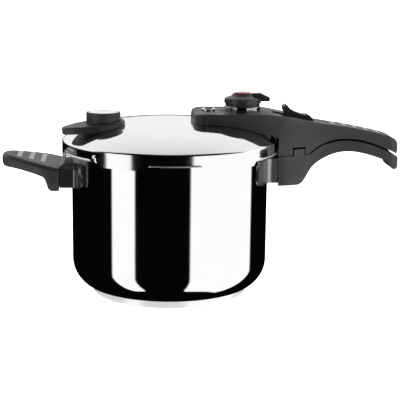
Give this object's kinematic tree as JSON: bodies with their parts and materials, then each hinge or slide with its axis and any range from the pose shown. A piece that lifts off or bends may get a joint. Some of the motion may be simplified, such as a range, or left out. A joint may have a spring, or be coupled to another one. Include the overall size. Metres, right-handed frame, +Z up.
{
  "type": "pressure cooker",
  "caption": "Stovetop pressure cooker with a bayonet lid, locking slide, pressure dial, two long handles, a helper handle and a lid grip with a safety valve.",
  "frame": {"origin": "centre of the base's flat underside, on the pot's axis", "axes": "+Z up along the pot axis, +X along the two long handles, +Y away from the side with the front lid notch"},
  "size_m": [0.4496, 0.2446, 0.2279],
  "materials": {
    "polished_steel": "mirror-polished stainless steel",
    "satin_steel": "satin stainless steel",
    "raw_aluminium": "rolled aluminium",
    "black_plastic": "fine matte heat-resistant plastic",
    "soft_black_plastic": "smooth black plastic",
    "light_pad": "light grey soft-touch strip",
    "red_plastic": "glossy red plastic",
    "silicone": "translucent white silicone",
    "brass_part": "turned brass",
    "spring_steel": "drawn spring wire"
  },
  "bodies": {
    "pot": {"pot_body": "polished_steel", "base_core": "raw_aluminium", "base_cap": "polished_steel", "long_handle_bracket": "satin_steel", "long_handle": "black_plastic", "long_handle_screw": "satin_steel", "lock_keeper": "satin_steel", "helper_bracket": "satin_steel", "helper_handle": "black_plastic", "helper_handle_pads": "light_pad", "helper_handle_screws": "satin_steel"},
    "lid_carrier": {"gasket": "silicone"},
    "lid": {"lid_shell": "polished_steel", "skirt_rivet": "polished_steel", "lid_handle": "black_plastic", "lid_handle_cover": "soft_black_plastic", "lid_handle_stripes": "light_pad", "lid_handle_screws": "satin_steel", "dial_collar": "polished_steel", "valve_body": "brass_part", "valve_seal": "silicone", "valve_nut": "satin_steel", "debris_cap": "satin_steel", "indicator_ring": "polished_steel", "indicator_seal": "silicone", "dial_mark": "light_pad", "lid_grip_base": "black_plastic", "lid_grip_knob": "black_plastic", "lid_grip_disc": "polished_steel", "safety_valve_body": "brass_part", "safety_valve_seal": "silicone", "safety_valve_nut": "satin_steel"},
    "dial": {"pressure_dial": "soft_black_plastic", "dial_disc": "red_plastic"},
    "relief_valve": {"relief_poppet": "brass_part", "relief_spring": "spring_steel"},
    "slider": {"lock_slider": "soft_black_plastic"},
    "pin": {"lock_pin": "satin_steel"},
    "indicator": {"pressure_indicator": "soft_black_plastic"},
    "safety_valve": {"safety_poppet": "brass_part", "safety_spring": "spring_steel"}
  },
  "joints": [
    {"name": "lid_lift", "type": "slide", "parent": "pot", "child": "lid_carrier", "axis": [0, 0, 1], "range_m": [0, 0.12]},
    {"name": "lid_turn", "type": "hinge", "parent": "lid_carrier", "child": "lid", "pos_m": [0, 0, 0.17], "axis": [0, 0, 1], "range_deg": [0, 30]},
    {"name": "dial_turn", "type": "hinge", "parent": "lid", "child": "dial", "pos_m": [0.082, 0, 0.22], "axis": [0, 0, 1], "range_deg": [0, 120]},
    {"name": "relief_lift", "type": "slide", "parent": "lid", "child": "relief_valve", "axis": [0, 0, 1], "range_m": [0, 0.0012], "stiffness_N_per_m": 500, "springref_m": -0.002, "deforming": ["relief_spring"]},
    {"name": "slider_slide", "type": "slide", "parent": "lid", "child": "slider", "axis": [-0.9791, 0, 0.2032], "range_m": [0, 0.01]},
    {"name": "lock_pin_drop", "type": "slide", "parent": "lid", "child": "pin", "axis": [0, 0, -1], "range_m": [0, 0.0066]},
    {"name": "indicator_rise", "type": "slide", "parent": "lid", "child": "indicator", "axis": [0, 0, 1], "range_m": [0, 0.004]},
    {"name": "safety_lift", "type": "slide", "parent": "lid", "child": "safety_valve", "axis": [0, 0, 1], "range_m": [0, 0.0012], "stiffness_N_per_m": 500, "springref_m": -0.002, "deforming": ["safety_spring"]}
  ],
  "couplings": [
    {"joint": "lock_pin_drop", "follows": "slider_slide", "ratio": 0.65}
  ]
}
